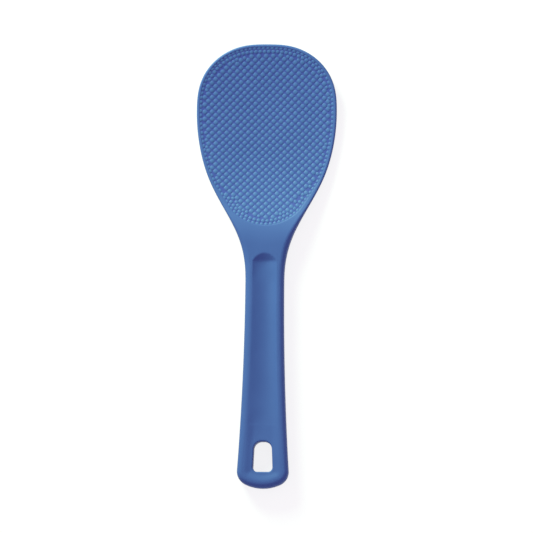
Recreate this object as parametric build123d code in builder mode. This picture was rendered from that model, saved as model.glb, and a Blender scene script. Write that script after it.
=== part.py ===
import os
from math import acos, asin, cos, degrees, hypot, radians, sin, tan

from build123d import *

# Driving sizes in millimetres. An "at" is a distance from the handle's end, and a
# "below_tip" one from the blade's tip, so a longer paddle gets a longer handle.
# Z = 0 is the table that the paddle lies on, with its bowl facing up.
overall_length = 240.0
blade_width = 75.8
widest_below_tip = 37.0
neck_width = 20.7
neck_below_tip = 129.0
end_width = 28.1
end_rise = 5.1
end_corner_radius = 7.65

# Outline of the blade as shares of two frames: from the widest line to the tip, and
# from the neck to the widest line. Each pair is across, then along.
shoulder_shares = [(0.322, 0.976), (0.610, 0.860), (0.873, 0.595), (0.976, 0.332)]
flank_shares = [(0.946, 0.817), (0.742, 0.605), (0.434, 0.429), (0.136, 0.253), (0.020, 0.112)]

# Thickness, the bowl of the blade, and the brow where the neck turns down into it. Along
# the paddle the bowl is rounder towards the neck than towards the tip.
handle_thickness = 10.0
blade_thickness = 2.4
bowl_cross_radius = 290.0
bowl_cross_sweep = 20.0
bowl_tip_radius = 240.0
bowl_tip_sweep = 25.0
bowl_neck_radius = 140.0
bowl_neck_sweep = 40.0
bowl_bottom_below_tip = 54.5
brow_radius = 50.0
brow_drop = 0.5
belly_sweep = 9.0

# The neck joins the handle's full section to the blade's, before the brow
neck_length = 5.0
neck_station_shares = [0.33, 0.67]

# Rounding of the rims: full on the handle, thin on the blade, easing along the neck
handle_front_rounding = 3.0
handle_back_rounding = 2.0
blade_rim_flat = 0.2

# Thumb trough along the front of the handle, with a ramp at the end by the blade
rim_width = 3.9
trough_depth = 2.0
ramp_length = 4.0
ramp_clearance = 1.9
trough_foot_overlap = 2.9
trough_foot_inset = 0.5
trough_foot_depth = 0.4
trough_swell_shares = [(0.75, 1.0), (0.50, 1.0), (0.25, 0.9), (0.12, 0.62)]
trough_rim_rounding = 0.9
trough_rim_angle = 5.0

# Shallow pocket round the hang hole, and the hole, wider towards the end
pocket_depth = 0.5
pocket_beyond_hole = 4.4
hole_at = 8.8
hole_length = 16.3
hole_outer_width = 10.9
hole_inner_width = 9.5
hole_outer_corner = 2.5
hole_inner_flat = 0.9
hole_rounding = 0.8
hole_back_chamfer = 0.5

# Sunk field of the blade that carries the non-stick bumps
field_depth = 0.3
field_margin = 1.5
field_foot_below_tip = 98.7
field_foot_width = 27.0
field_foot_flat = 0.9
field_foot_angle = 57.0

overrun = 5.0

# Sizes that follow from those above
widest_at = overall_length - widest_below_tip
neck_at = overall_length - neck_below_tip
bowl_bottom_at = overall_length - bowl_bottom_below_tip
blade_rounding = (blade_thickness - blade_rim_flat) / 2
brow_level = handle_thickness - brow_drop
brow_reach = bowl_neck_radius + brow_radius
brow_turn = degrees(acos(1 - (brow_level - blade_thickness) / brow_reach))
brow_at = bowl_bottom_at - brow_reach * sin(radians(brow_turn))
handle_joint_at = brow_at - neck_length
trough_top_at = handle_joint_at - ramp_length - ramp_clearance
pocket_top_at = hole_at + hole_length + pocket_beyond_hole
trough_foot_at = pocket_top_at - trough_foot_overlap
hole_inner_corner = (hole_inner_width - hole_inner_flat) / 2
field_foot_at = overall_length - field_foot_below_tip
field_foot_radius = (field_foot_width - field_foot_flat) / 2 / tan(radians(field_foot_angle / 2))


def along(distance):
    """Place on the Y axis of a point that far from the handle's end."""
    return distance - overall_length / 2


def neck_blend(distance):
    """Smooth step from 0 at the handle's joint to 1 at the brow."""
    share = (distance - handle_joint_at) / neck_length
    return share * share * (3 - 2 * share)


def eased(on_handle, on_blade, distance):
    """A size that changes smoothly along the neck."""
    return on_handle + (on_blade - on_handle) * neck_blend(distance)


half_blade = blade_width / 2
half_neck = neck_width / 2
above = (Align.CENTER, Align.MIN)
below = (Align.CENTER, Align.MAX)


def blade_edge(inset):
    """Points of the blade's right edge, drawn in by the inset: tip to widest, widest to neck."""
    half = half_blade - inset
    height = overall_length - inset - widest_at
    tip = (0, along(overall_length - inset))
    shoulder = [(half * across, along(widest_at + height * up)) for across, up in shoulder_shares]
    widest = (half, along(widest_at))
    flank = [
        (half_neck - inset + (half_blade - half_neck) * across, along(neck_at + (widest_at - neck_at) * up))
        for across, up in flank_shares
    ]
    narrowest = (half_neck - inset, along(neck_at))
    return [tip, *shoulder, widest], [widest, *flank, narrowest]


# Plan: the whole outline, seen from the front
upper_edge, lower_edge = blade_edge(0)
narrowest = lower_edge[-1]
end_corner = (end_width / 2, along(end_rise))

with BuildSketch() as plan:
    with BuildLine():
        Spline(*upper_edge, tangents=[(1, 0), (0, -1)])
        Spline(*lower_edge, tangents=[(0, -1), (0, -1)])
        TangentArc(narrowest, end_corner, tangent=(0, -1))
        mirror(about=Plane.YZ)
        ThreePointArc(end_corner, (0, along(0)), (-end_corner[0], end_corner[1]))
    make_face()
    fillet(plan.vertices().group_by(Axis.Y)[0], radius=end_corner_radius)


def half_width(distance):
    """Half the width of the outline at that distance."""
    ruler = Edge.make_line((0, along(distance)), (blade_width, along(distance)))
    return max(edge.bounding_box().max.X for edge in plan.sketch.face().intersect(ruler))


# Handle: flat front and back, with full roundings all the way round its end
with BuildPart() as handle:
    with BuildSketch():
        add(plan.sketch)
        with Locations((0, along(handle_joint_at))):
            Rectangle(2 * blade_width, overall_length, align=above, mode=Mode.SUBTRACT)
    extrude(amount=handle_thickness)
    front_rim = handle.faces().sort_by(Axis.Z)[-1].edges().sort_by(Axis.Y)[:-1]
    fillet(front_rim, radius=handle_front_rounding)
    back_rim = handle.faces().sort_by(Axis.Z)[0].edges().sort_by(Axis.Y)[:-1]
    fillet(back_rim, radius=handle_back_rounding)


def bowl_line(depth, neck_sweep):
    """The bowl's line that far under its front: two arcs, level where they meet."""
    bottom = (along(bowl_bottom_at), blade_thickness - depth)
    neck_arc = JernArc(bottom, (-1, 0), bowl_neck_radius + depth, -neck_sweep)
    tip_arc = JernArc(bottom, (1, 0), bowl_tip_radius + depth, bowl_tip_sweep)
    return neck_arc, tip_arc


def turned(side):
    """The side view turned about an axis that runs along the paddle, high above it."""
    axis = Axis((0, 0, blade_thickness + bowl_cross_radius), (0, 1, 0))
    with BuildPart() as body:
        add(side.sketch)
        revolve(axis=axis, revolution_arc=bowl_cross_sweep)
    return body.part.rotate(axis, -bowl_cross_sweep / 2)


# Blade and brow from the side: the front line above, the arch and the belly below
with BuildSketch(Plane.YZ) as blade_side:
    with BuildLine():
        front_neck, front_tip = bowl_line(0, brow_turn)
        brow = JernArc(front_neck @ 1, front_neck % 1, brow_radius, brow_turn)
        back_neck, back_tip = bowl_line(blade_thickness, belly_sweep)
        start = along(brow_at - overrun)
        Line(brow @ 1, (start, brow_level))
        Line((start, brow_level), (start, 0))
        Line((start, 0), (along(brow_at), 0))
        Spline((along(brow_at), 0), back_neck @ 1, tangents=[(1, 0), -(back_neck % 1)])
        Line(back_tip @ 1, front_tip @ 1)
    make_face()

# Blade: that form trimmed to the outline, with its rims rounded front and back
with BuildPart() as blade:
    with BuildSketch():
        add(plan.sketch)
        with Locations((0, along(brow_at))):
            Rectangle(2 * blade_width, overall_length, align=below, mode=Mode.SUBTRACT)
    extrude(amount=bowl_cross_radius)
    add(turned(blade_side), mode=Mode.INTERSECT)
    walls = blade.faces().filter_by(GeomType.EXTRUSION)
    fillet(walls.edges().filter_by(GeomType.LINE, reverse=True), radius=blade_rounding)


def neck_section(distance):
    """Section across the neck: it dishes and its rims grow thinner towards the blade."""
    half = half_width(distance)
    sag = neck_blend(distance) * half**2 / (2 * bowl_cross_radius)
    front = eased(handle_thickness, brow_level, distance)
    with BuildSketch(Plane.XZ.offset(-along(distance))) as section:
        with BuildLine():
            ThreePointArc((-half, sag), (0, 0), (half, sag))
            Line((half, sag), (half, front + sag))
            ThreePointArc((half, front + sag), (0, front), (-half, front + sag))
            Line((-half, front + sag), (-half, sag))
        make_face()
        back_radius = eased(handle_back_rounding, blade_rounding, distance)
        fillet(section.vertices().group_by(Axis.Y)[0], radius=back_radius)
        front_radius = eased(handle_front_rounding, blade_rounding, distance)
        fillet(section.vertices().group_by(Axis.Y)[-1], radius=front_radius)
    return section.sketch.face()


# Neck: one skin from the handle's end face to the blade's
with BuildPart() as neck:
    stations = [neck_section(handle_joint_at + neck_length * share) for share in neck_station_shares]
    loft(sections=[handle.faces().sort_by(Axis.Y)[-1], *stations, blade.faces().sort_by(Axis.Y)[0]])


def trough_section(distance, width, depth):
    """Section across the trough: a shallow arc between two rounded rims, open above the front."""
    rounding = trough_rim_rounding
    out, down = rounding * sin(radians(trough_rim_angle)), rounding * cos(radians(trough_rim_angle))
    radius = ((down - depth) ** 2 + (width / 2 + out) ** 2 - rounding**2) / (2 * (rounding - down + depth))
    lean = degrees(asin((width / 2 + out) / (radius + rounding)))
    with BuildSketch(Plane.XZ.offset(-along(distance))) as section:
        with BuildLine():
            bed = CenterArc((0, handle_thickness - depth + radius), radius, -90 - lean, 2 * lean)
            for end, turn in ((bed @ 1, 1), (bed @ 0, -1)):
                heading = (turn * cos(radians(lean)), sin(radians(lean)))
                JernArc(end, heading, rounding, turn * (trough_rim_angle - lean))
            left, right = (-width / 2, handle_thickness), (width / 2, handle_thickness)
            Polyline(left, (left[0], left[1] + overrun), (right[0], right[1] + overrun), right)
        make_face()
    return section.sketch.face()


def within_rims(distance):
    """Width between the handle's two rims at that distance."""
    return 2 * (half_width(distance) - rim_width)


trough_length = trough_top_at - trough_foot_at
trough_top = trough_section(trough_top_at, neck_width - 2 * rim_width, trough_depth)
trough_middle = [
    trough_section(middle, within_rims(middle), trough_depth * deep)
    for middle, deep in ((trough_foot_at + trough_length * at, deep) for at, deep in trough_swell_shares)
]
trough_foot_width = within_rims(trough_foot_at) - 2 * trough_foot_inset
trough_foot = trough_section(trough_foot_at, trough_foot_width, trough_foot_depth)

with BuildPart() as trough:
    loft(sections=[trough_top, *trough_middle, trough_foot])
    extrude(
        trough_top,
        amount=hypot(ramp_length, trough_depth) + overrun,
        dir=(0, ramp_length, trough_depth),
    )

# Pocket and hang hole in plan
with BuildSketch(Plane.XY.offset(handle_thickness - pocket_depth)) as pocket:
    add(plan.sketch)
    offset(amount=-rim_width, kind=Kind.ARC)
    with Locations((0, along(pocket_top_at))):
        Rectangle(2 * blade_width, overall_length, align=above, mode=Mode.SUBTRACT)

with BuildSketch() as hole:
    with BuildLine():
        Polyline(
            (hole_outer_width / 2, along(hole_at)),
            (hole_inner_width / 2, along(hole_at + hole_length)),
            (-hole_inner_width / 2, along(hole_at + hole_length)),
            (-hole_outer_width / 2, along(hole_at)),
            close=True,
        )
    make_face()
    fillet(hole.vertices().group_by(Axis.Y)[0], radius=hole_outer_corner)
    fillet(hole.vertices().group_by(Axis.Y)[-1], radius=hole_inner_corner)

# Sunk field in plan: the outline drawn in, closed by a round foot at the neck
with BuildSketch() as field_foot:
    with BuildLine():
        flare = overall_length * cos(radians(field_foot_angle))
        rise = overall_length * sin(radians(field_foot_angle))
        Polyline(
            (field_foot_width / 2, along(field_foot_at)),
            (field_foot_width / 2 + flare, along(field_foot_at) + rise),
            (-field_foot_width / 2 - flare, along(field_foot_at) + rise),
            (-field_foot_width / 2, along(field_foot_at)),
            close=True,
        )
    make_face()
    fillet(field_foot.vertices().group_by(Axis.Y)[0], radius=field_foot_radius)

upper_edge, lower_edge = blade_edge(field_margin)
with BuildSketch() as field:
    with BuildLine():
        Spline(*upper_edge, tangents=[(1, 0), (0, -1)])
        Spline(*lower_edge, tangents=[(0, -1), (0, -1)])
        mirror(about=Plane.YZ)
        Line(lower_edge[-1], (-lower_edge[-1][0], lower_edge[-1][1]))
    make_face()
    add(field_foot.sketch, mode=Mode.INTERSECT)

# What is cut away over the field: a layer of the bowl's form
with BuildSketch(Plane.YZ) as field_side:
    with BuildLine():
        upper_arcs = bowl_line(-overrun, bowl_neck_sweep)
        lower_arcs = bowl_line(field_depth, bowl_neck_sweep)
        for upper, lower in zip(upper_arcs, lower_arcs):
            Line(upper @ 1, lower @ 1)
    make_face()

with BuildPart() as field_sinking:
    add(field.sketch)
    extrude(amount=bowl_cross_radius)
    add(turned(field_side), mode=Mode.INTERSECT)


def edges_within(part, outline, height):
    """The edges at that height that lie inside the outline's frame."""
    frame = outline.sketch.bounding_box()
    level = part.edges().filter_by_position(Axis.Z, height, height)
    across = level.filter_by_position(Axis.X, frame.min.X, frame.max.X)
    return across.filter_by_position(Axis.Y, frame.min.Y, frame.max.Y)


# Grip: the handle with its trough, pocket and hang hole
with BuildPart() as grip:
    add(handle.part)
    add(trough.part, mode=Mode.SUBTRACT)
    extrude(pocket.sketch, amount=overrun, mode=Mode.SUBTRACT)
    extrude(hole.sketch, amount=handle_thickness + overrun, mode=Mode.SUBTRACT)
    fillet(edges_within(grip, hole, handle_thickness - pocket_depth), radius=hole_rounding)
    chamfer(edges_within(grip, hole, 0), length=hole_back_chamfer)

with BuildPart() as paddle:
    add([grip.part, neck.part, blade.part])
    add(field_sinking.part, mode=Mode.SUBTRACT)
paddle.part.label = "paddle"

os.makedirs("parts", exist_ok=True)
export_step(paddle.part, "parts/paddle.step")
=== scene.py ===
import bmesh
import bpy
import numpy as np
from mathutils import Matrix, Vector


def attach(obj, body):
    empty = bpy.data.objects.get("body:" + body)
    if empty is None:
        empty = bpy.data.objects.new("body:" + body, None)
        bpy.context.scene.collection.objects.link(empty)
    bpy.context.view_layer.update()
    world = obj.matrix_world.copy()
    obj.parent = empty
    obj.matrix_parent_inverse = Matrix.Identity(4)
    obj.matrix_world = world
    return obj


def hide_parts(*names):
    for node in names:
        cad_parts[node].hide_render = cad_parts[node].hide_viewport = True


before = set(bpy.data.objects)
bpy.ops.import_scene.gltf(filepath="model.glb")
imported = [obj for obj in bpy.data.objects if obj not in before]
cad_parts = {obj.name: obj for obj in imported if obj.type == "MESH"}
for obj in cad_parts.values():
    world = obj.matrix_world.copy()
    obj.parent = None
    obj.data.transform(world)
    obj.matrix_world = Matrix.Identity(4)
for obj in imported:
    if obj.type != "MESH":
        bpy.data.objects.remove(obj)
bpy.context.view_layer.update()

MM = 0.001

# Sizes in millimetres. "At" is a distance from the handle's end, on the long axis.
# The outline: the blade's shoulder and flank are shares of its half width and of its length.
LENGTH = 240.0
HALF_BLADE, WIDEST_AT = 37.9, 203.0
HALF_NECK, NECK_AT = 10.35, 111.0
END_HALF, END_RISE, END_CORNER, END_WIDE_AT = 14.05, 5.1, 7.65, 14.0
SHOULDER = [(0.322, 0.976), (0.610, 0.860), (0.873, 0.595), (0.976, 0.332)]
FLANK = [(0.946, 0.817), (0.742, 0.605), (0.434, 0.429), (0.136, 0.253), (0.020, 0.112)]

# Thicknesses and the radii of the bowl, the brow and the rounded rims.
HANDLE_THICK, BLADE_THICK = 10.0, 2.4
BOWL_AT, BOWL_CROSS, BOWL_TIP, BOWL_NECK = 185.5, 290.0, 240.0, 140.0
BROW_RADIUS, DISH_STARTS, DISH_LENGTH = 60.0, 124.0, 16.0
BELLY_SWEEP = np.radians(9.0)
RIM_FRONT, RIM_BACK, RIM_BLADE = 3.0, 2.0, 1.1
RIM_EASES_AT, RIM_EASING = 128.0, 26.0
END_RIM_MORE, END_RIM_REACH = 0.35, 6.0

# The thumb trough: where its depth grows and over what length, where its lowest line moves to
# the right, and how soft its edges are. Below CUT_AT it follows the outline round the hole.
RIM_WIDTH, CUT_AT, END_BED_HALF = 3.9, 34.0, 8.9
TROUGH_DEPTH, TROUGH_TOP, RAMP_LENGTH, TROUGH_PAST = 2.0, 122.2, 4.2, 132.0
DEEPENING, DEEPENING_POWER = 40.0, 0.8
TROUGH_ASIDE, ASIDE_FROM, ASIDE_TO, ASIDE_EASING = 0.2, 34.0, 119.0, 10.0
RAMP_SOFTNESS, TROUGH_SOFTNESS, RIM_CLEAR = 0.35, 0.10, 1.4

# The pocket round the hang hole, and the hole.
POCKET_DEPTH, POCKET_WALL, POCKET_LIP = 0.8, 4.4, 0.3
POCKET_FADES_AT, POCKET_FADE = 22.0, 22.0
HOLE_AT, HOLE_LENGTH = 8.8, 16.3
HOLE_OUTER, HOLE_INNER, HOLE_OUTER_CORNER, HOLE_INNER_CORNER = 10.9, 9.5, 2.5, 4.3
HOLE_ROUNDING, HOLE_CHAMFER = 0.8, 0.5

# The sunk field that carries the bumps, with the soft step of its edge and its round foot.
FIELD_DEPTH, FIELD_MARGIN, STEP_OUT, STEP_WIDTH = 0.3, 1.5, 0.1, 0.7
FOOT_AT, FOOT_RADIUS, FOOT_ANGLE = 141.3, 24.0, np.radians(57.0)

# The camera: its lean from straight above towards the right and towards the tip, its turn, its
# distance, how far the paddle's middle is from the picture's middle, and how much it sees.
CAMERA_LEAN_X, CAMERA_LEAN_Y, CAMERA_ROLL = 3.5, -6.0, 0.62
CAMERA_DISTANCE, PICTURE_WIDTH = 2126.0, 287.5
CAMERA_ASIDE, CAMERA_ABOVE = -0.50, 0.0

# ---------------------------------------------------------------- outline

# Points on the outline's short arcs and on its long curves.
SHORT_ARC, LONG_CURVE = 200, 1200


def smooth_curve(points, first_heading, last_heading, count):
    """Cubic curve through the points, with even slope and bend where its pieces meet and set
    headings at both ends. The slopes solve one linear system; each piece is a Hermite cubic."""
    points = np.array(points, float)
    gap = np.linalg.norm(np.diff(points, axis=0), axis=1)
    n = len(points)
    system = np.zeros((n, n))
    right = np.zeros((n, 2))
    system[0, 0] = system[-1, -1] = 1.0
    right[0], right[-1] = first_heading, last_heading
    inner = np.arange(1, n - 1)
    system[inner, inner - 1] = gap[1:]
    system[inner, inner] = 2 * (gap[:-1] + gap[1:])
    system[inner, inner + 1] = gap[:-1]
    rise = np.diff(points, axis=0) / gap[:, None]
    right[inner] = 3 * (gap[1:, None] * rise[:-1] + gap[:-1, None] * rise[1:])
    slope = np.linalg.solve(system, right)
    at = np.concatenate([[0], np.cumsum(gap)])
    u = np.linspace(0, at[-1], count)
    k = np.clip(np.searchsorted(at, u, side="right") - 1, 0, n - 2)
    h = gap[k][:, None]
    t = ((u - at[k]) / gap[k])[:, None]
    return ((2 * t**3 - 3 * t**2 + 1) * points[k] + (t**3 - 2 * t**2 + t) * h * slope[k]
            + (3 * t**2 - 2 * t**3) * points[k + 1] + (t**3 - t**2) * h * slope[k + 1])


def arc(centre, radius, start, end, count):
    """Points of an arc: the centre plus the radius times cosine and sine of the turning angle."""
    angle = np.linspace(start, end, count)
    return np.column_stack([centre[0] + radius * np.cos(angle), centre[1] + radius * np.sin(angle)])


def angle_of(point, centre):
    """Turning angle of the line from the centre to the point."""
    return np.arctan2(point[1] - centre[1], point[0] - centre[0])


def half_outline():
    """Right half of the outline, from the middle of the handle's end to the tip: the end's arc,
    the corner's arc, the handle's long arc, and two smooth curves round the blade."""
    corner = np.array([END_HALF, END_RISE])
    end_radius = (END_HALF**2 + END_RISE**2) / (2 * END_RISE)
    end_centre = np.array([0.0, end_radius])
    drop, across = NECK_AT - END_RISE, END_HALF - HALF_NECK
    side_radius = (across**2 + drop**2) / (2 * across)
    side_centre = np.array([HALF_NECK + side_radius, NECK_AT])
    inner, outer = end_radius - END_CORNER, side_radius + END_CORNER
    span = np.linalg.norm(side_centre - end_centre)
    along = (inner**2 - outer**2 + span**2) / (2 * span)
    aside = np.sqrt(inner**2 - along**2)
    way = (side_centre - end_centre) / span
    centre = end_centre + along * way + aside * np.array([way[1], -way[0]])
    touch_end = end_centre + (centre - end_centre) / inner * end_radius
    touch_side = side_centre + (centre - side_centre) / outer * side_radius
    parts = [
        arc(end_centre, end_radius, -np.pi / 2, angle_of(touch_end, end_centre), SHORT_ARC),
        arc(centre, END_CORNER, angle_of(touch_end, centre), angle_of(touch_side, centre), SHORT_ARC),
        arc(side_centre, side_radius, angle_of(touch_side, side_centre) % (2 * np.pi), np.pi, LONG_CURVE),
    ]
    widening, climb = HALF_BLADE - HALF_NECK, WIDEST_AT - NECK_AT
    flank = [(HALF_NECK + widening * a, NECK_AT + climb * u) for a, u in FLANK]
    rise = LENGTH - WIDEST_AT
    shoulder = [(HALF_BLADE * a, WIDEST_AT + rise * u) for a, u in SHOULDER]
    widest = (HALF_BLADE, WIDEST_AT)
    parts.append(smooth_curve([(HALF_NECK, NECK_AT), *flank[::-1], widest], (0, 1), (0, 1), LONG_CURVE))
    parts.append(smooth_curve([widest, *shoulder[::-1], (0, LENGTH)], (0, 1), (-1, 0), LONG_CURVE))
    line = np.concatenate([parts[0]] + [part[1:] for part in parts[1:]])
    line[0, 0] = line[-1, 0] = 0.0
    return line


EDGE = half_outline()
EDGE_RUN = np.concatenate([[0], np.cumsum(np.linalg.norm(np.diff(EDGE, axis=0), axis=1))])
SIDE = slice(np.argmax(EDGE[:LONG_CURVE, 0]), np.argmax(EDGE[:, 0]))


def half_width(at):
    """Half the width of the outline between the handle's widest place and the blade's."""
    return np.interp(at, EDGE[SIDE, 1], EDGE[SIDE, 0])


def smooth_step(value):
    """Zero below zero, one above one, and between them three squares less two cubes."""
    value = np.clip(value, 0, 1)
    return value * value * (3 - 2 * value)


def soft_floor(value, softness):
    """The value where it is above zero and zero below, with a rounded change between."""
    return softness * np.logaddexp(0, value / softness)


# ---------------------------------------------------------------- heights

BROW_REACH = BOWL_NECK + BROW_RADIUS
BROW_TURN = np.arccos(1 - (HANDLE_THICK - BLADE_THICK) / BROW_REACH)
BROW_AT = BOWL_AT - BROW_REACH * np.sin(BROW_TURN)
BOWL_STARTS = BOWL_AT - BOWL_NECK * np.sin(BROW_TURN)
BELLY_AT = BOWL_AT - (BOWL_NECK + BLADE_THICK) * np.sin(BELLY_SWEEP)

# Limits that keep the roots real and the powers small, outside the places where a shape shows.
BOWL_REACH, BROW_SHARE, BED_SHARE = 80.0, 0.6, 0.97
RAMP_BEFORE, RAMP_AFTER, LEAST_DEEP = -3.0, 20.0, 1e-6


def neck_blend(at):
    """Zero on the handle and one on the blade, with an even change over the neck."""
    return smooth_step((at - DISH_STARTS) / DISH_LENGTH)


def front_line(at):
    """Height of the front along the middle: level handle, convex brow, the bowl's two arcs."""
    past = np.clip(at - BROW_AT, 0, BROW_SHARE * BROW_RADIUS)
    brow = HANDLE_THICK - BROW_RADIUS + np.sqrt(BROW_RADIUS**2 - past**2)
    radius = np.where(at < BOWL_AT, BOWL_NECK, BOWL_TIP)
    away = np.clip(BOWL_AT - at, -BOWL_REACH, BOWL_REACH)
    bowl = BLADE_THICK + radius - np.sqrt(radius**2 - away**2)
    return np.where(at < BOWL_STARTS, brow, bowl)


def back_line(at):
    """Height of the back along the middle: flat handle, a low arch under the neck, the belly. The
    arch is a cubic with the level and slope of the handle at one end and of the belly at the other."""
    radius = np.where(at < BOWL_AT, BOWL_NECK, BOWL_TIP) + BLADE_THICK
    away = np.clip(BOWL_AT - at, -BOWL_REACH, BOWL_REACH)
    belly = radius - np.sqrt(radius**2 - away**2)
    span = BELLY_AT - BROW_AT
    t = np.clip((at - BROW_AT) / span, 0, 1)
    outer = BOWL_NECK + BLADE_THICK
    end_height = outer - np.sqrt(outer**2 - (BOWL_AT - BELLY_AT)**2)
    end_slope = -np.tan(BELLY_SWEEP)
    arch = end_height * (3 * t**2 - 2 * t**3) + end_slope * span * (t**3 - t**2)
    return np.where(at < BELLY_AT, arch, belly)


def cross_dish(across, at, thickness=0.0):
    """Rise towards the sides: an arc about an axis high above the bowl, fading out on the handle."""
    radius = BOWL_CROSS + BLADE_THICK - front_line(at) + thickness
    return neck_blend(at) * (radius - np.sqrt(radius**2 - across**2))


def trough_cut(across, at, depth_in):
    """Depth of the thumb trough: an arc across between two rims of even width, a sloped ramp at
    the top, and a shallow pocket with a soft edge round the hang hole. From the handle's end the
    depth grows as a smooth step to a power. The arc's lowest line lies a little to the right, by a
    share that fades to nothing at the rims. depth_in is the distance inside the outline."""
    follows_width = at > CUT_AT
    half = np.where(at > NECK_AT, HALF_NECK, half_width(np.clip(at, END_WIDE_AT, NECK_AT))) - RIM_WIDTH
    inside = np.where(follows_width, half - np.abs(across), depth_in - RIM_WIDTH)
    half = np.where(follows_width, half, END_BED_HALF)
    share = np.clip(inside / half, -1, 1)
    place = np.clip(across / half, -1, 1)
    eased = smooth_step((at - ASIDE_FROM) / ASIDE_EASING) * smooth_step((ASIDE_TO - at) / ASIDE_EASING)
    aside = TROUGH_ASIDE * (1 - place**2) * eased
    from_lowest = np.abs((1 - share) * np.sign(across) - aside)
    reach = np.where(inside > 0, from_lowest, 1 - share) * half
    bed_radius = (half**2 + TROUGH_DEPTH**2) / (2 * TROUGH_DEPTH)
    below = np.sqrt(bed_radius**2 - np.clip(reach, 0, BED_SHARE * bed_radius)**2)
    bed = (below - (bed_radius - TROUGH_DEPTH)) / TROUGH_DEPTH
    deep = TROUGH_DEPTH * smooth_step((at - END_WIDE_AT) / DEEPENING) ** DEEPENING_POWER
    climb = np.clip(at - TROUGH_TOP, RAMP_BEFORE, RAMP_AFTER)
    ramp = soft_floor(climb, RAMP_SOFTNESS) * TROUGH_DEPTH / RAMP_LENGTH
    cut = soft_floor(np.maximum(deep, LEAST_DEEP) * bed - ramp, TROUGH_SOFTNESS)
    cut = np.where((inside < -RIM_CLEAR) | (at > TROUGH_PAST), 0.0, cut)
    near_hole = 1 - smooth_step((at - POCKET_FADES_AT) / POCKET_FADE)
    return cut + POCKET_DEPTH * near_hole * smooth_step((inside + POCKET_LIP) / POCKET_WALL)


def foot_distance(across, at):
    """Distance inside the field's foot: from an arc near the middle, and past it from the
    straight lines that leave the arc's ends."""
    centre = FOOT_AT + FOOT_RADIUS
    turn = np.arctan2(np.abs(across), centre - at)
    radial = FOOT_RADIUS - np.hypot(across, centre - at)
    along_line = np.abs(across) * np.sin(FOOT_ANGLE) - (at - centre) * np.cos(FOOT_ANGLE)
    return np.where(turn < FOOT_ANGLE, radial, FOOT_RADIUS - along_line)


def field_sink(across, at, depth_in):
    """Depth of the bumps' field below the blade's rim: a soft step inside the drawn-in outline,
    closed by a round foot at the neck."""
    inside = np.minimum(depth_in - FIELD_MARGIN, foot_distance(across, at))
    return FIELD_DEPTH * smooth_step((inside + STEP_OUT) / STEP_WIDTH)


def front_height(across, at, depth_in):
    """Height of the whole front: middle line plus dish, less the trough and the field."""
    base = front_line(at) + cross_dish(across, at)
    return base - trough_cut(across, at, depth_in) - field_sink(across, at, depth_in)


def back_height(across, at):
    """Height of the whole back: middle line plus dish."""
    return back_line(at) + cross_dish(across, at, BLADE_THICK)


# ---------------------------------------------------------------- the moulding's surface

# Gap between the mesh's rows, and the stretches where they stand closer: from, to, gap.
FINE_POINTS, ROW_GAP = 6000, 1.0
CLOSE_ROWS = [(-1.0, 30.0, 0.6), (120.5, 129.0, 0.22), (136.0, 154.0, 0.32), (228.0, 241.0, 0.6)]


def rows_along():
    """Places of the rows along the outline, closer together where the form changes fast."""
    run = np.linspace(0, EDGE_RUN[-1], FINE_POINTS)
    at = np.interp(run, EDGE_RUN, EDGE[:, 1])
    spacing = np.full_like(run, ROW_GAP)
    for start, end, gap in CLOSE_ROWS:
        spacing[(at > start) & (at < end)] = gap
    load = np.concatenate([[0], np.cumsum(0.5 * (1 / spacing[1:] + 1 / spacing[:-1]) * np.diff(run))])
    count = int(load[-1]) + 1
    return np.interp(np.linspace(0, load[-1], count), load, run)


RUN = rows_along()
ROW = np.column_stack([np.interp(RUN, EDGE_RUN, EDGE[:, i]) for i in (0, 1)])
SLOPE = np.gradient(EDGE, EDGE_RUN, axis=0)
HEADING = np.column_stack([np.interp(RUN, EDGE_RUN, SLOPE[:, i]) for i in (0, 1)])
HEADING[0], HEADING[-1] = (1, 0), (-1, 0)
HEADING /= np.linalg.norm(HEADING, axis=1)[:, None]
INWARD = np.column_stack([-HEADING[:, 1], HEADING[:, 0]])

# The band round the outline is RING wide. Inside it lie two sheets, which meet at the CUT row.
RING = 3.4
INNER = ROW + RING * INWARD
CUT = int(np.argmin(np.abs(INNER[:, 1] - CUT_AT)))

# Points on a rim's quarter round, on its flat and on the back's, and the places on the blade's
# flat, close together over the field's soft step.
ROUND_POINTS, FLAT_POINTS, BACK_POINTS = 8, 10, 4
LEDGE_SHARES = [0.06, 0.13, 0.19, 0.25, 0.31, 0.38, 0.46, 0.68, 1.0]

# Columns over the handle: half of them stand short of the trough's rim, most others cross it.
HALF_COLUMNS, COLUMN_MARKS = 24, [0, 0.5, 0.85, 1]
BEFORE_RIM, AFTER_RIM, RIM_TO_EDGE, AFTER_TO_EDGE = 0.5, 0.25, 0.4, 0.15

# Rings round the hang hole, as shares of the way in; points on the hole's edge; the part of the
# outline that is near the handle's end; and the digits to which points are equal when welded.
HOLE_RINGS = [0, 0.04, 0.08, 0.12, 0.17, 0.22, 0.28, 0.35, 0.45, 0.56, 0.68, 0.8, 0.91, 1.0]
BACK_RINGS, HOLE_ARC, HOLE_POINTS, EVENING = 6, 60, 4001, 41
NEAR_END, END_STRIDE, WELD_DIGITS = 60, 4, 4


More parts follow.
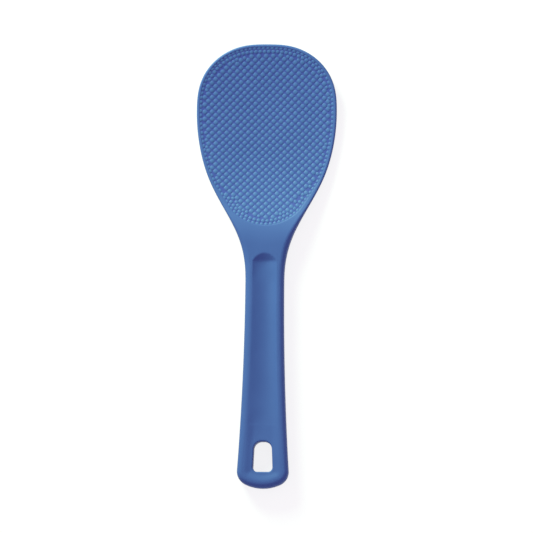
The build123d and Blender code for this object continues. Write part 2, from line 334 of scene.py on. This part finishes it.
def rim_profile(at):
    """Distances in from the outline and drops from the front and the back, for rows at those
    places: a quarter round at the front, the wall, a quarter round at the back."""
    blade = smooth_step((at - RIM_EASES_AT) / RIM_EASING)[:, None]
    front = RIM_FRONT + (RIM_BLADE - RIM_FRONT) * blade
    front = front + END_RIM_MORE * np.clip(1 - at[:, None] / END_RIM_REACH, 0, 1)
    back = RIM_BACK + (RIM_BLADE - RIM_BACK) * blade
    turn = np.linspace(0, np.pi / 2, ROUND_POINTS)[None, :]
    round_in, round_drop = 1 - np.cos(turn), 1 - np.sin(turn)
    even = np.linspace(0, 1, FLAT_POINTS)[None, 1:]
    by_ledge = np.array(LEDGE_SHARES)[None, :]
    flat = front + (RING - front) * (even + (by_ledge - even) * blade)
    front_in = np.concatenate([flat[:, ::-1], front * round_in[:, ::-1]], axis=1)
    front_drop = np.concatenate([0 * flat, front * round_drop[:, ::-1]], axis=1)
    back_flat = back + (RING - back) * np.linspace(0, 1, BACK_POINTS)[None, 1:]
    back_in = np.concatenate([back * round_in, back_flat], axis=1)
    back_drop = np.concatenate([back * round_drop, 0 * back_flat], axis=1)
    return front_in, front_drop, back_in, back_drop


def rim_band():
    """The band round the outline: the rim's profile carried along it, then its mirror image."""
    at = ROW[:, 1]
    front_in, front_drop, back_in, back_drop = rim_profile(at)
    front = ROW[:, None, :] + front_in[:, :, None] * INWARD[:, None, :]
    back = ROW[:, None, :] + back_in[:, :, None] * INWARD[:, None, :]
    front_z = front_height(front[..., 0], front[..., 1], front_in) - front_drop
    back_z = back_height(back[..., 0], back[..., 1]) + back_drop
    right = np.concatenate([np.dstack([front, front_z]), np.dstack([back, back_z])], axis=1)
    right[[0, -1], :, 0] = 0.0
    left = right[-2:0:-1] * np.array([-1, 1, 1])
    return np.concatenate([right, left])


def columns(row_points):
    """Places across for each row: close together over the trough's rims, even over the blade."""
    half, at = row_points[:, 0], row_points[:, 1]
    share = np.linspace(0, 1, HALF_COLUMNS + 1)
    rim = np.minimum(half_width(np.clip(at, END_WIDE_AT, NECK_AT)) - RIM_WIDTH, half - RIM_TO_EDGE)
    after = np.minimum(rim + AFTER_RIM, half - AFTER_TO_EDGE)
    keys = np.column_stack([0 * half, rim - BEFORE_RIM, after, half])
    trough = np.array([np.interp(share, COLUMN_MARKS, key) for key in keys])
    even = half[:, None] * share[None, :]
    mix = neck_blend(at)[:, None]
    out = trough * (1 - mix) + even * mix
    return np.concatenate([-out[:, :0:-1], out], axis=1)


def middle_sheet(front):
    """The front or the back inside the band, from the cut above the hang hole to the tip."""
    rows = INNER[CUT:]
    across = columns(rows)
    across[-1] = 0.0
    at = np.repeat(rows[:, 1:2], across.shape[1], axis=1)
    if front:
        height = front_height(across, at, RING + (np.abs(rows[:, 0:1]) - np.abs(across)))
    else:
        height = back_height(across, at)
    return np.dstack([across, at, height])


def hole_edge(angles):
    """Points and outward headings of the hang hole's edge, where rays from its middle meet it. The
    edge is two arcs a side, joined by straight lines; its headings are evened over a few points."""
    outer, inner = HOLE_OUTER / 2, HOLE_INNER / 2
    lean = np.arctan2(outer - inner, HOLE_LENGTH)
    near, far = HOLE_AT, HOLE_AT + HOLE_LENGTH
    r1, r2 = HOLE_OUTER_CORNER, HOLE_INNER_CORNER
    c1 = np.array([outer - r1 * (1 / np.cos(lean)) - r1 * np.tan(lean), near + r1])
    c2 = np.array([inner - r2 * (1 / np.cos(lean)) + r2 * np.tan(lean), far - r2])
    right = np.concatenate([
        [[0, near]],
        arc(c1, r1, -np.pi / 2, lean, HOLE_ARC),
        arc(c2, r2, lean, np.pi / 2, HOLE_ARC),
        [[0, far]],
    ])
    loop = np.concatenate([right, right[-2:0:-1] * [-1, 1]])
    loop = np.concatenate([loop, loop[:1]])
    run = np.concatenate([[0], np.cumsum(np.linalg.norm(np.diff(loop, axis=0), axis=1))])
    fine = np.linspace(0, run[-1], HOLE_POINTS)
    loop = np.column_stack([np.interp(fine, run, loop[:, i]) for i in (0, 1)])
    middle = np.array([0, HOLE_AT + HOLE_LENGTH / 2])
    at_angle = np.unwrap(np.arctan2(loop[:, 1] - middle[1], loop[:, 0] - middle[0]))
    step = np.gradient(loop, axis=0)
    round_trip = np.concatenate([step[-EVENING:-1], step, step[1:EVENING]])
    kernel = np.ones(EVENING) / EVENING
    evened = [np.convolve(round_trip[:, i], kernel, "same")[EVENING - 1:1 - EVENING] for i in (0, 1)]
    step = np.column_stack(evened)
    step /= np.linalg.norm(step, axis=1)[:, None]
    wanted = (angles - at_angle[0]) % (2 * np.pi) + at_angle[0]
    points = np.column_stack([np.interp(wanted, at_angle, loop[:, i]) for i in (0, 1)])
    heading = np.column_stack([np.interp(wanted, at_angle, step[:, i]) for i in (0, 1)])
    heading /= np.linalg.norm(heading, axis=1)[:, None]
    return points, np.column_stack([heading[:, 1], -heading[:, 0]])


def end_loop():
    """The loop that bounds the handle's end inside the band: up the right side from the middle
    of the end, across at the cut, and down the left side."""
    right = INNER[:CUT + 1].copy()
    right[0, 0] = 0.0
    top = columns(INNER[CUT:CUT + 1])[0]
    line = np.column_stack([top[::-1][1:-1], np.full(len(top) - 2, INNER[CUT, 1])])
    left = (right * [-1, 1])[::-1][:-1]
    return np.concatenate([right, line, left])


def depth_inside(points):
    """Distance from each point to the outline near the handle's end."""
    near = EDGE[EDGE[:, 1] < NEAR_END][::END_STRIDE]
    near = np.concatenate([near, near * [-1, 1]])
    flat = points.reshape(-1, 2)
    gap = np.min(np.linalg.norm(flat[:, None, :] - near[None, :, :], axis=2), axis=1)
    return gap.reshape(points.shape[:-1])


def hole_edge_by_loop(outer):
    """The hole's edge and its headings, one point for each point of the end's loop."""
    angles = np.arctan2(outer[:, 1] - HOLE_AT - HOLE_LENGTH / 2, outer[:, 0])
    return hole_edge(angles)


def end_sheet(front):
    """Front or back round the hang hole: rings that pass from the end's loop to the hole's edge."""
    outer = end_loop()
    edge, out = hole_edge_by_loop(outer)
    edge = edge + (HOLE_ROUNDING if front else HOLE_CHAMFER) * out
    share = np.array(HOLE_RINGS) if front else np.linspace(0, 1, BACK_RINGS)
    ring = outer[:, None, :] * (1 - share)[None, :, None] + edge[:, None, :] * share[None, :, None]
    if not front:
        return np.dstack([ring, back_height(ring[..., 0], ring[..., 1])])
    depth = depth_inside(ring)
    depth[:CUT + 1, 0] = RING
    depth[len(depth) - CUT:, 0] = RING
    top = ring[:, 0, 1] > INNER[CUT, 1] - 1e-6
    depth[top, 0] = RING + INNER[CUT, 0] - np.abs(ring[top, 0, 0])
    return np.dstack([ring, front_height(ring[..., 0], ring[..., 1], depth)])


def hole_wall():
    """The hang hole's wall: a quarter round at the front, the straight wall, a chamfer at the back."""
    edge, out = hole_edge_by_loop(end_loop())
    last = edge + HOLE_ROUNDING * out
    top = front_height(last[:, 0], last[:, 1], depth_inside(last))
    turn = np.linspace(0, np.pi / 2, ROUND_POINTS)
    away = np.concatenate([HOLE_ROUNDING * (1 - np.sin(turn)), [0, HOLE_CHAMFER]])
    front = top[:, None] - HOLE_ROUNDING * (1 - np.cos(turn))[None, :]
    back = np.tile([HOLE_CHAMFER, 0.0], (len(edge), 1))
    ring = edge[:, None, :] + away[None, :, None] * out[:, None, :]
    return np.dstack([ring, np.concatenate([front, back], axis=1)])


def grid_faces(first, rows, cols, closed):
    """Four-sided faces between neighbours of a grid of points; closed joins the last row to the first."""
    r = np.arange(rows if closed else rows - 1)[:, None]
    c = np.arange(cols - 1)[None, :]
    r2 = (r + 1) % rows
    corners = [r * cols + c, r * cols + c + 1, r2 * cols + c + 1, r2 * cols + c]
    return (first + np.stack(corners, axis=-1)).reshape(-1, 4)


def to_frame(points):
    """Millimetres from the handle's end, to metres in the model's frame."""
    return (points - np.array([0, LENGTH / 2, 0])) * MM


def make_piece(name, patches):
    """One mesh from several grids of points, welded where they meet."""
    verts, faces, first = [], [], 0
    for grid, closed in patches:
        faces.append(grid_faces(first, grid.shape[0], grid.shape[1], closed))
        verts.append(grid.reshape(-1, 3))
        first += grid.shape[0] * grid.shape[1]
    verts, faces = np.concatenate(verts), np.concatenate(faces)
    _, keep, same = np.unique(np.round(verts, WELD_DIGITS), axis=0, return_index=True, return_inverse=True)
    same = same.reshape(-1)
    faces, verts = same[faces], to_frame(verts[keep])
    doubled = faces == np.roll(faces, -1, axis=1)
    shared = doubled.sum(axis=1)
    quads = faces[shared == 0]
    tris = faces[shared == 1][~doubled[shared == 1]].reshape(-1, 3)
    mesh = bpy.data.meshes.new(name)
    mesh.from_pydata(verts.tolist(), [], quads.tolist() + tris.tolist())
    mesh.validate()
    mesh.update()
    mesh.shade_smooth()
    piece = bpy.data.objects.new(name, mesh)
    bpy.context.scene.collection.objects.link(piece)
    return piece


def face_outwards(piece):
    """Turns the faces of a closed mesh to point out of it."""
    shape = bmesh.new()
    shape.from_mesh(piece.data)
    bmesh.ops.recalc_face_normals(shape, faces=shape.faces)
    shape.to_mesh(piece.data)
    shape.free()


moulding = make_piece("moulding", [
    (rim_band(), True),
    (middle_sheet(True), False),
    (middle_sheet(False), False),
    (end_sheet(True), True),
    (end_sheet(False), True),
    (hole_wall(), True),
])
face_outwards(moulding)

# ---------------------------------------------------------------- bumps

# The staggered net of bumps: how far apart they stand, where its rows start, how its rows climb
# to the right and its columns lean, how far it is moved across, and which rows and columns exist.
PITCH_ACROSS, PITCH_FOOT, PITCH_GROWTH = 3.92, 3.692, 0.003114
ROWS_FROM, FIRST_ROW, ROW_CLIMB = 150.0, 2.136, 0.026
COLUMN_LEAN, UPRIGHT_AT, COLUMNS_ASIDE = 0.0097, 216.0, -0.27
NET_ROWS, NET_COLUMNS = (-6, 60), (-12, 13)

# The field's edge is found on rays from its middle, by halving a stretch of each again and again.
FIELD_MIDDLE, RAYS, RAY_FROM, RAY_TO, HALVINGS = (0.0, 192.0), 721, 5.0, 60.0, 14
BLADE_FROM, BLADE_STRIDE = 125, 6

# Rows that follow the field's edge: how far inside it they run, how far apart their bumps are, and
# the share of that by which they start later. Then how far the net keeps clear, and the fillers.
EDGE_ROW, SECOND_ROW = (0.55, 2.4, 0.0), (2.5, 2.35, 0.5)
SECOND_ABOVE, SECOND_BELOW = 222.0, 158.0
NET_MARGIN, NET_CLEAR = 1.6, 1.9
FILLER_DEPTHS, FILLER_GAP, FILLER_STEP = (1.4, 7.0), 2.0, 0.3
FILLERS_ASIDE, FILLERS_FROM, CHUNKS = 37, 141, 12

# Radius and height of a bump of the net, of the edge row, of the second row and of a filler.
BUMP_RADII, BUMP_HEIGHTS = (1.43, 1.16, 1.16, 1.12), (0.31, 0.27, 0.28, 0.27)
BUMP_SPOKES, BUMP_RINGS, BUMP_POWER, BUMP_SUNK = 12, (0.42, 0.76, 1.0), 2.5, 0.03
BUMP_POINTS = 1 + BUMP_SPOKES * len(BUMP_RINGS)
# Where the painted shade on the field's floor starts outside the field, how wide its soft edge is, and how
# far below the foot it reaches.
PAINTED_SHADE_OUT, PAINTED_SHADE_WIDTH, FOOT_CLEAR = 0.2, 0.8, 2


def lattice():
    """Staggered places over the whole blade: every second row is moved by half a pitch. The rows
    stand closer at the foot, their gap growing evenly with the distance, so that their places
    follow an exponential; they climb a little to the right, and the columns lean as much."""
    jj, ii = np.meshgrid(np.arange(*NET_ROWS), np.arange(*NET_COLUMNS))
    across = (ii + 0.5 * (jj % 2)) * PITCH_ACROSS
    at = ROWS_FROM + PITCH_FOOT / PITCH_GROWTH * (np.exp(PITCH_GROWTH * (jj / 2 - FIRST_ROW)) - 1)
    at = at + ROW_CLIMB * across
    across = across - COLUMN_LEAN * (at - UPRIGHT_AT) + COLUMNS_ASIDE
    return np.column_stack([across.ravel(), at.ravel()])


def outline_distance(points):
    """Distance from each point in to the nearest place of the outline, negative outside it."""
    edge = EDGE[EDGE[:, 1] > BLADE_FROM][::BLADE_STRIDE]
    inward = np.gradient(edge, axis=0)
    inward = np.column_stack([-inward[:, 1], inward[:, 0]])
    inward /= np.linalg.norm(inward, axis=1)[:, None]
    probe = np.column_stack([np.abs(points[:, 0]), points[:, 1]])
    gap = probe[:, None, :] - edge[None, :, :]
    reach = np.linalg.norm(gap, axis=2)
    near = reach.argmin(axis=1)
    side = np.sum(gap[np.arange(len(probe)), near] * inward[near], axis=1)
    return np.sign(side) * reach[np.arange(len(probe)), near]


def field_distance(points):
    """Distance of each point inside the edge of the bumps' field."""
    return np.minimum(outline_distance(points) - FIELD_MARGIN, foot_distance(points[:, 0], points[:, 1]))


def edge_loop(depth):
    """The closed line that runs along the field's edge, drawn in by the depth, found on rays from
    the field's middle."""
    middle = np.array(FIELD_MIDDLE)
    angles = np.linspace(-np.pi, np.pi, RAYS)
    low, high = np.full(RAYS, RAY_FROM), np.full(RAYS, RAY_TO)
    way = np.column_stack([np.cos(angles), np.sin(angles)])
    for _ in range(HALVINGS):
        reach = (low + high) / 2
        inside = field_distance(middle + reach[:, None] * way) > depth
        low, high = np.where(inside, reach, low), np.where(inside, high, reach)
    return middle + low[:, None] * way


def edge_row(depth, pitch, shift):
    """Bumps spaced evenly along the field's edge drawn in by the depth."""
    loop = edge_loop(depth)
    run = np.concatenate([[0], np.cumsum(np.linalg.norm(np.diff(loop, axis=0), axis=1))])
    count = int(round(run[-1] / pitch))
    place = (np.arange(count) + shift) * run[-1] / count
    return np.column_stack([np.interp(place, run, loop[:, i]) for i in (0, 1)])


def clear_of(places, others, gap):
    """Those places that are further than the gap from every one of the others."""
    reach = np.linalg.norm(places[:, None, :] - others[None, :, :], axis=2)
    return places[reach.min(axis=1) > gap]


def gap_fillers(places):
    """Places for small bumps in the gaps near the edge: again and again the point that is furthest
    from every bump, until none is further than the gap allows."""
    across = np.arange(-FILLERS_ASIDE, FILLERS_ASIDE, FILLER_STEP)
    at = np.arange(FILLERS_FROM, LENGTH, FILLER_STEP)
    grid = np.stack(np.meshgrid(across, at), axis=-1).reshape(-1, 2)
    depth = field_distance(grid)
    grid = grid[(depth > FILLER_DEPTHS[0]) & (depth < FILLER_DEPTHS[1])]
    reach = np.full(len(grid), 1e3)
    for chunk in np.array_split(places, CHUNKS):
        reach = np.minimum(reach, np.linalg.norm(grid[:, None, :] - chunk[None, :, :], axis=2).min(axis=1))
    chosen = []
    while reach.max() > FILLER_GAP:
        chosen.append(grid[reach.argmax()])
        reach = np.minimum(reach, np.linalg.norm(grid - chosen[-1], axis=1))
    return np.array(chosen).reshape(-1, 2)


def bump_places():
    """Every bump's place, radius and height: a row along the field's edge, a second one at the tip
    and at the foot, the staggered bumps wherever they are clear of those, and small ones in the
    gaps that are left."""
    edge, second = edge_row(*EDGE_ROW), edge_row(*SECOND_ROW)
    second = second[(second[:, 1] > SECOND_ABOVE) | (second[:, 1] < SECOND_BELOW)]
    staggered = lattice()
    staggered = staggered[field_distance(staggered) > NET_MARGIN]
    staggered = clear_of(staggered, np.concatenate([edge, second]), NET_CLEAR)
    filler = gap_fillers(np.concatenate([edge, second, staggered]))
    kinds = (staggered, edge, second, filler)
    counts = [len(kind) for kind in kinds]
    return np.concatenate(kinds), np.repeat(BUMP_RADII, counts), np.repeat(BUMP_HEIGHTS, counts)


def bump_cushions():
    """A low closed cushion for each bump: rings of a rounded square, on which the cubes of both
    measures add up to one, turned by 45 degrees; the height falls as one minus a power of the ring's
    share, and a floor closes it, sunk a little. Gives the points, the faces, and each point's tone for
    painted light: plus one on top, where a highlight is painted, and minus one at the foot, where shade is
    painted."""
    places, radius, height = bump_places()
    spokes = np.linspace(0, 2 * np.pi, BUMP_SPOKES, endpoint=False) + np.pi / 4
    share = np.array(BUMP_RINGS)
    square = 1 / (np.abs(np.cos(spokes - np.pi / 4))**3 + np.abs(np.sin(spokes - np.pi / 4))**3)**(1 / 3)
    outer = square[:, None] * np.column_stack([np.cos(spokes), np.sin(spokes)])
    ring = np.concatenate([np.zeros((1, 2)), (share[:, None, None] * outer[None, :, :]).reshape(-1, 2)])
    level = np.concatenate([[1.0], np.repeat(1 - share**BUMP_POWER, len(spokes))])
    spots = places[:, None, :] + radius[:, None, None] * ring[None, :, :]
    lift = height[:, None] * level[None, :] - BUMP_SUNK
    across, at = spots[..., 0], spots[..., 1]
    z = front_line(at) + cross_dish(across, at) - FIELD_DEPTH + lift
    verts = np.dstack([spots, z]).reshape(-1, 3)
    k = np.arange(BUMP_SPOKES)
    following = (k + 1) % BUMP_SPOKES
    first = 1 + BUMP_SPOKES * np.arange(len(share))
    caps = np.column_stack([0 * k, 1 + k, 1 + following])
    bands = np.concatenate([np.column_stack([a + k, b + k, b + following, a + following])
                            for a, b in zip(first[:-1], first[1:])])
    floor = (first[-1] + k)[::-1][None, :]
    start = np.arange(len(places))[:, None, None] * BUMP_POINTS
    tone = np.tile(2 * level - 1, len(places))
    faces = [(start + part[None]).reshape(-1, part.shape[1]).tolist() for part in (caps, bands, floor)]
    return verts, faces[0] + faces[1] + faces[2], tone


def set_painted_light_and_shade(piece, tone):
    """Keeps a number at each point for painted light: plus one for a painted highlight on a bump's top,
    minus one for painted shade between the bumps.
    """
    kept = piece.data.attributes.new("tone", "FLOAT", "POINT")
    kept.data.foreach_set("value", tone.astype(np.float32))


def field_painted_shade(piece):
    """Painted shade on the floor of the bumps' field: minus one there, passing to zero on the smooth rim
    around it.
    """
    flat = np.zeros(len(piece.data.vertices) * 3)
    piece.data.vertices.foreach_get("co", flat)
    points = flat.reshape(-1, 3) / MM + np.array([0, LENGTH / 2, 0])
    level = back_height(points[:, 0], points[:, 1]) + 0.5 * BLADE_THICK
    front = (points[:, 1] > FOOT_AT - FOOT_CLEAR) & (points[:, 2] > level)
    tone = np.zeros(len(points))
    tone[front] = -smooth_step((field_distance(points[front, :2]) + PAINTED_SHADE_OUT) / PAINTED_SHADE_WIDTH)
    return tone


def make_bumps(name):
    """One mesh of all bumps, smooth but for their floors, which meet the sides at a sharp edge."""
    verts, faces, tone = bump_cushions()
    mesh = bpy.data.meshes.new(name)
    mesh.from_pydata(to_frame(verts).tolist(), [], faces)
    mesh.polygons.foreach_set("use_smooth", np.array([len(face) < 5 for face in faces]))
    mesh.update()
    ends = np.zeros(2 * len(mesh.edges), int)
    mesh.edges.foreach_get("vertices", ends)
    at_foot = (ends.reshape(-1, 2) % BUMP_POINTS > BUMP_POINTS - 1 - BUMP_SPOKES).all(axis=1)
    mesh.edges.foreach_set("use_edge_sharp", at_foot)
    mesh.update()
    piece = bpy.data.objects.new(name, mesh)
    bpy.context.scene.collection.objects.link(piece)
    set_painted_light_and_shade(piece, tone)
    return piece


front_bumps = make_bumps("front_bumps")
# Painted shade on the moulding's sunk field floor, between the bumps.
set_painted_light_and_shade(moulding, field_painted_shade(moulding))

# ---------------------------------------------------------------- material

# The plastic's blue passes between two neighbours in soft clouds. Painted light multiplies it: a
# painted highlight, lighter and greener, on the bumps' tops, and painted shade, darker and more violet,
# in the net between them and on the field's floor.
DEEPER_BLUE, LIGHTER_BLUE = (0.063, 0.148, 0.378, 1), (0.070, 0.160, 0.400, 1)
# Multipliers for painted shade in the net and on the field's floor, and for a painted highlight on the
# bumps' tops.
NET_PAINTED_SHADE, TOP_PAINTED_HIGHLIGHT = (0.88, 0.66, 0.94, 1), (1.08, 1.26, 1.03, 1)
CLOUD_SCALE, GRAIN_SCALE = 35.0, 2600.0
GRAIN_STRENGTH, GRAIN_HEIGHT = 0.08, 0.00005
ROUGHNESS_LOW, ROUGHNESS_HIGH = 0.46, 0.54
GLOSS, GLOSS_TINT = 0.35, (0.60, 1.0, 0.90, 1)


def blue_plastic():
    """Semi-gloss moulded plastic, blue all through, with a fine satin grain and faint clouds. The
    bumps' tops get a painted highlight, a little lighter, and the net between them and the field's floor
    get painted shade, a little deeper."""
    material = bpy.data.materials.new("blue_plastic")
    material.use_nodes = True
    nodes, links = material.node_tree.nodes, material.node_tree.links
    shader = nodes["Principled BSDF"]
    place = nodes.new("ShaderNodeTexCoord")
    cloud = nodes.new("ShaderNodeTexNoise")
    cloud.inputs["Scale"].default_value = CLOUD_SCALE
    cloud.inputs["Detail"].default_value = 3.0
    links.new(place.outputs["Object"], cloud.inputs["Vector"])
    tint = nodes.new("ShaderNodeValToRGB")
    tint.color_ramp.elements[0].position = 0.35
    tint.color_ramp.elements[0].color = DEEPER_BLUE
    tint.color_ramp.elements[1].position = 0.65
    tint.color_ramp.elements[1].color = LIGHTER_BLUE
    links.new(cloud.outputs["Fac"], tint.inputs["Fac"])
    # The tone attribute carries painted light: a painted highlight on the bumps' tops and painted shade in
    # the net and on the field's floor.
    tone = nodes.new("ShaderNodeAttribute")
    tone.attribute_name = "tone"
    colour = tint.outputs["Color"]
    # Painted shade darkens where the tone is below zero, a painted highlight lightens where it is above.
    for direction, painted_light in ((-1.0, NET_PAINTED_SHADE), (1.0, TOP_PAINTED_HIGHLIGHT)):
        share = nodes.new("ShaderNodeMath")
        share.operation, share.use_clamp = "MULTIPLY", True
        share.inputs[1].default_value = direction
        links.new(tone.outputs["Fac"], share.inputs[0])
        blend = nodes.new("ShaderNodeMix")
        blend.data_type, blend.blend_type = "RGBA", "MULTIPLY"
        blend.inputs["B"].default_value = painted_light
        links.new(share.outputs[0], blend.inputs["Factor"])
        links.new(colour, blend.inputs["A"])
        colour = blend.outputs["Result"]
    links.new(colour, shader.inputs["Base Color"])
    grain = nodes.new("ShaderNodeTexNoise")
    grain.inputs["Scale"].default_value = GRAIN_SCALE
    grain.inputs["Detail"].default_value = 2.0
    links.new(place.outputs["Object"], grain.inputs["Vector"])
    bump = nodes.new("ShaderNodeBump")
    bump.inputs["Strength"].default_value = GRAIN_STRENGTH
    bump.inputs["Distance"].default_value = GRAIN_HEIGHT
    links.new(grain.outputs["Fac"], bump.inputs["Height"])
    links.new(bump.outputs["Normal"], shader.inputs["Normal"])
    shine = nodes.new("ShaderNodeMapRange")
    shine.inputs["To Min"].default_value = ROUGHNESS_LOW
    shine.inputs["To Max"].default_value = ROUGHNESS_HIGH
    links.new(cloud.outputs["Fac"], shine.inputs["Value"])
    links.new(shine.outputs["Result"], shader.inputs["Roughness"])
    shader.inputs["IOR"].default_value = 1.5
    shader.inputs["Specular IOR Level"].default_value = GLOSS
    shader.inputs["Specular Tint"].default_value = GLOSS_TINT
    return material


plastic = blue_plastic()
for piece in (moulding, front_bumps):
    piece.data.materials.append(plastic)
    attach(piece, "root")
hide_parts("paddle")

# ---------------------------------------------------------------- floor, light, camera

# The floor's colour for the light that it throws back, its colour where it is seen, and its glow.
FLOOR_HALF, FLOOR_LEVEL = 3, -0.0001
FLOOR_THROWS, FLOOR_SEEN, FLOOR_GLOW = (0.30, 0.16, 0.34, 1), (0.24, 0.29, 0.24, 1), 0.83

KEY_WAY, KEY_DISTANCE, KEY_SIZE = (-0.95, 1.6, 0.9), 0.9, (0.35, 0.35)
KEY_POWER, KEY_COLOUR = 11.0, (0.86, 1.06, 0.80)
WORLD_COLOUR, WORLD_STRENGTH = (1.12, 0.77, 1.22, 1), 0.43
SENSOR_WIDTH, FAR_LIMIT = 36.0, 20.0


def make_floor():
    """A flat sheet that looks white to the camera or in a mirror, with the paddle's soft shadow on
    it. The light that it throws back on the paddle is dim and violet, like the photo's shades."""
    mesh = bpy.data.meshes.new("floor")
    corners = ((-1, -1), (1, -1), (1, 1), (-1, 1))
    verts = [(x * FLOOR_HALF, y * FLOOR_HALF, FLOOR_LEVEL) for x, y in corners]
    mesh.from_pydata(verts, [], [(0, 1, 2, 3)])
    sheet = bpy.data.objects.new("floor", mesh)
    bpy.context.scene.collection.objects.link(sheet)
    material = bpy.data.materials.new("white_floor")
    material.use_nodes = True
    nodes, links = material.node_tree.nodes, material.node_tree.links
    shader = nodes["Principled BSDF"]
    shader.inputs["Roughness"].default_value = 0.9
    shader.inputs["Specular IOR Level"].default_value = 0.0
    shader.inputs["Emission Color"].default_value = (1, 1, 1, 1)
    path = nodes.new("ShaderNodeLightPath")
    seen = nodes.new("ShaderNodeMath")
    seen.operation = "ADD"
    links.new(path.outputs["Is Camera Ray"], seen.inputs[0])
    links.new(path.outputs["Is Glossy Ray"], seen.inputs[1])
    seen_too = nodes.new("ShaderNodeMath")
    seen_too.operation = "ADD"
    seen_too.use_clamp = True
    links.new(seen.outputs[0], seen_too.inputs[0])
    links.new(path.outputs["Is Transmission Ray"], seen_too.inputs[1])
    tone = nodes.new("ShaderNodeMix")
    tone.data_type = "RGBA"
    tone.inputs["A"].default_value = FLOOR_THROWS
    tone.inputs["B"].default_value = FLOOR_SEEN
    links.new(seen_too.outputs[0], tone.inputs["Factor"])
    links.new(tone.outputs["Result"], shader.inputs["Base Color"])
    lift = nodes.new("ShaderNodeMath")
    lift.operation = "MULTIPLY"
    lift.inputs[1].default_value = FLOOR_GLOW
    links.new(seen_too.outputs[0], lift.inputs[0])
    links.new(lift.outputs[0], shader.inputs["Emission Strength"])
    mesh.materials.append(material)


make_floor()


def make_key_light():
    """One area lamp, low beyond the tip and to the left, turned to the paddle's middle."""
    light = bpy.data.lights.new("key_light", "AREA")
    light.shape = "RECTANGLE"
    light.size, light.size_y = KEY_SIZE
    light.energy = KEY_POWER
    light.color = KEY_COLOUR
    lamp = bpy.data.objects.new("key_light", light)
    place = Vector(KEY_WAY).normalized() * KEY_DISTANCE
    turn = (-place).to_track_quat("-Z", "Y").to_matrix().to_4x4()
    lamp.matrix_world = Matrix.Translation(place) @ turn
    bpy.context.scene.collection.objects.link(lamp)


def make_world():
    """Even light from all round, which is all that the shaded sides get."""
    world = bpy.data.worlds.new("studio")
    bpy.context.scene.world = world
    world.use_nodes = True
    background = world.node_tree.nodes["Background"]
    background.inputs["Color"].default_value = WORLD_COLOUR
    background.inputs["Strength"].default_value = WORLD_STRENGTH


make_key_light()
make_world()


def make_camera():
    """Looks down on the front from the lower right, with the tip at the top of the picture."""
    lens = bpy.data.cameras.new("camera")
    camera = bpy.data.objects.new("camera", lens)
    lean_x, lean_y, roll = np.radians(CAMERA_LEAN_X), np.radians(CAMERA_LEAN_Y), np.radians(CAMERA_ROLL)
    way = Vector((np.sin(lean_x), np.sin(lean_y), 0))
    way.z = np.sqrt(1 - way.x**2 - way.y**2)
    forward = -way
    right = forward.cross(Vector((0, 1, 0))).normalized()
    up = right.cross(forward)
    right, up = np.cos(roll) * right + np.sin(roll) * up, np.cos(roll) * up - np.sin(roll) * right
    target = -right * CAMERA_ASIDE * MM - up * CAMERA_ABOVE * MM
    turn = Matrix((right, up, -forward)).transposed()
    camera.matrix_world = Matrix.Translation(target + way * CAMERA_DISTANCE * MM) @ turn.to_4x4()
    lens.sensor_width = SENSOR_WIDTH
    lens.lens = SENSOR_WIDTH * CAMERA_DISTANCE / PICTURE_WIDTH
    lens.clip_end = FAR_LIMIT
    bpy.context.scene.collection.objects.link(camera)
    bpy.context.scene.camera = camera


make_camera()
bpy.context.scene.view_settings.view_transform = "Standard"
